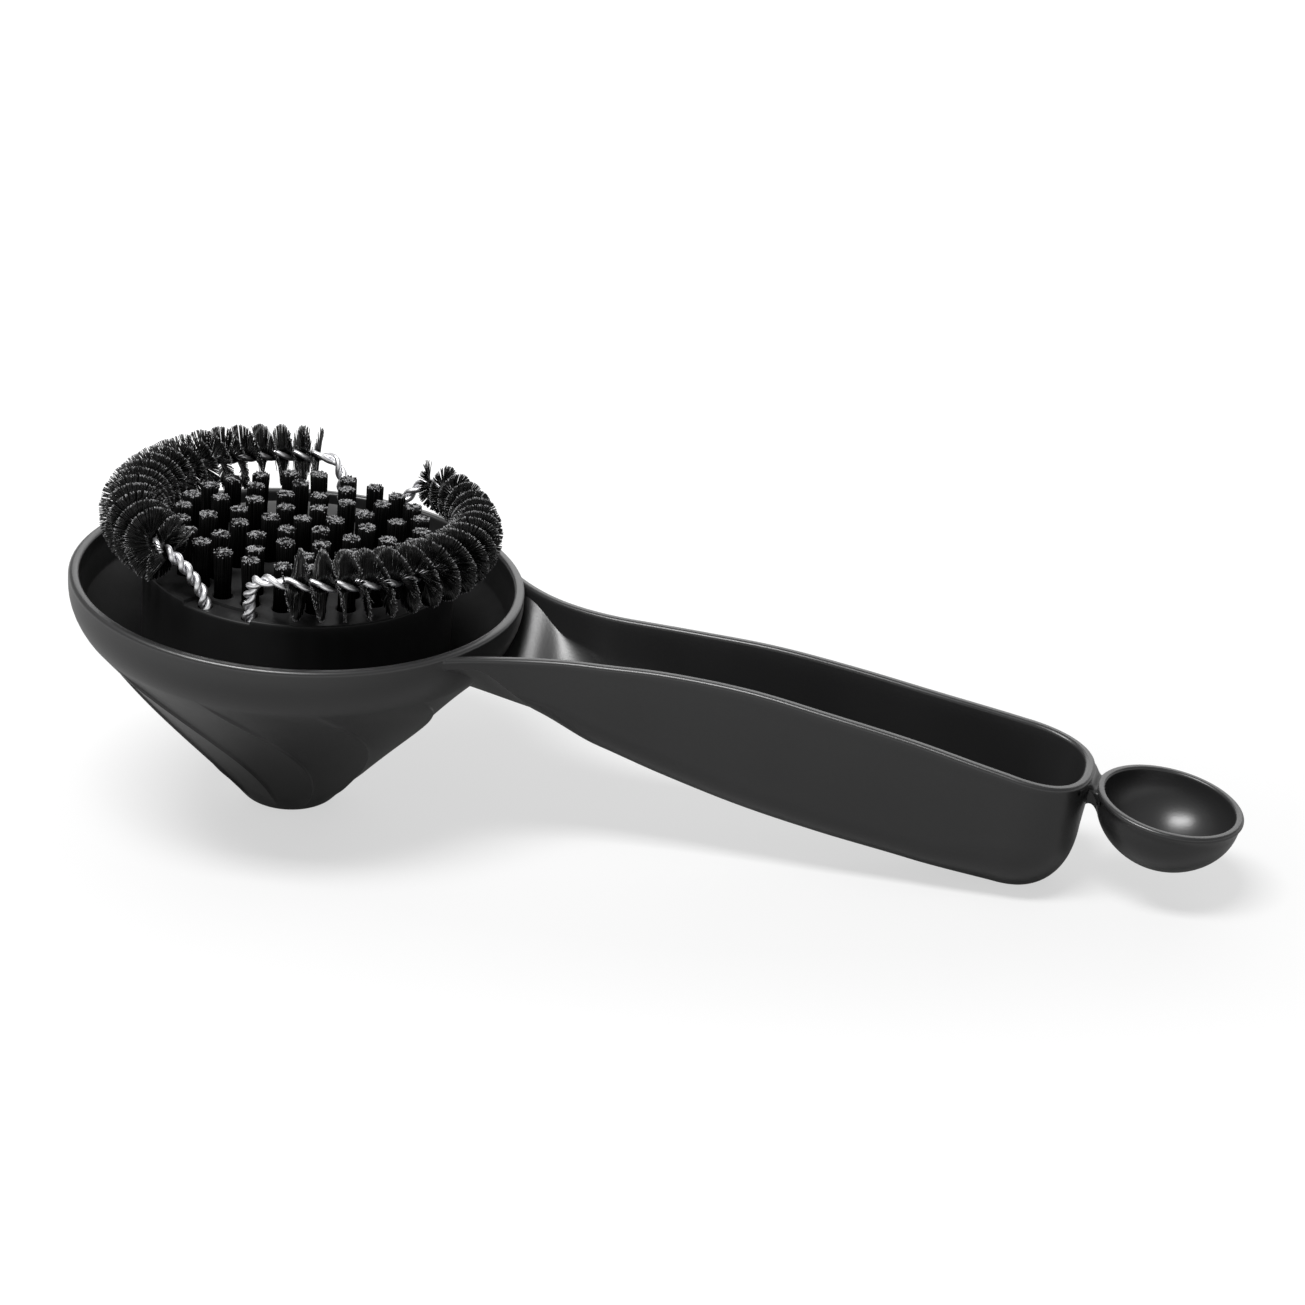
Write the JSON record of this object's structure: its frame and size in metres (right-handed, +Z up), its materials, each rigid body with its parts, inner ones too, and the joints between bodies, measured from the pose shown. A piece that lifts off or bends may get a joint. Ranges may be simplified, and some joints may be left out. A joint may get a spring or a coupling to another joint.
{
  "type": "coffee machine cleaning brush",
  "caption": "Conical splash bowl moulded in one with an open trough handle and a small scoop, holding a round tufted brush ringed by twisted wire brushes.",
  "frame": {"origin": "middle of the resting object's bounding box, on the surface that it lies on", "axes": "+X from the bowl along the handle to the scoop, +Z up as it lies at rest on the bowl's tip and the handle's heel"},
  "size_m": [0.2175, 0.0848, 0.0696],
  "materials": {
    "body": "satin charcoal black",
    "carrier": "satin black",
    "tufts": "black nylon bristle, grey cut tips",
    "bristles": "glossy black nylon bristle",
    "wire": "bright twisted steel wire"
  },
  "bodies": {
    "root": {"handle_body": "body", "brush_base": "carrier", "tuft_centre": "tufts", "tufts_ring_1": "tufts", "tufts_ring_2": "tufts", "tufts_ring_3": "tufts", "tufts_ring_4": "tufts", "bristles_right": "bristles", "bristles_left": "bristles", "wire_right_a": "wire", "wire_right_b": "wire", "wire_left_a": "wire", "wire_left_b": "wire"}
  },
  "joints": []
}
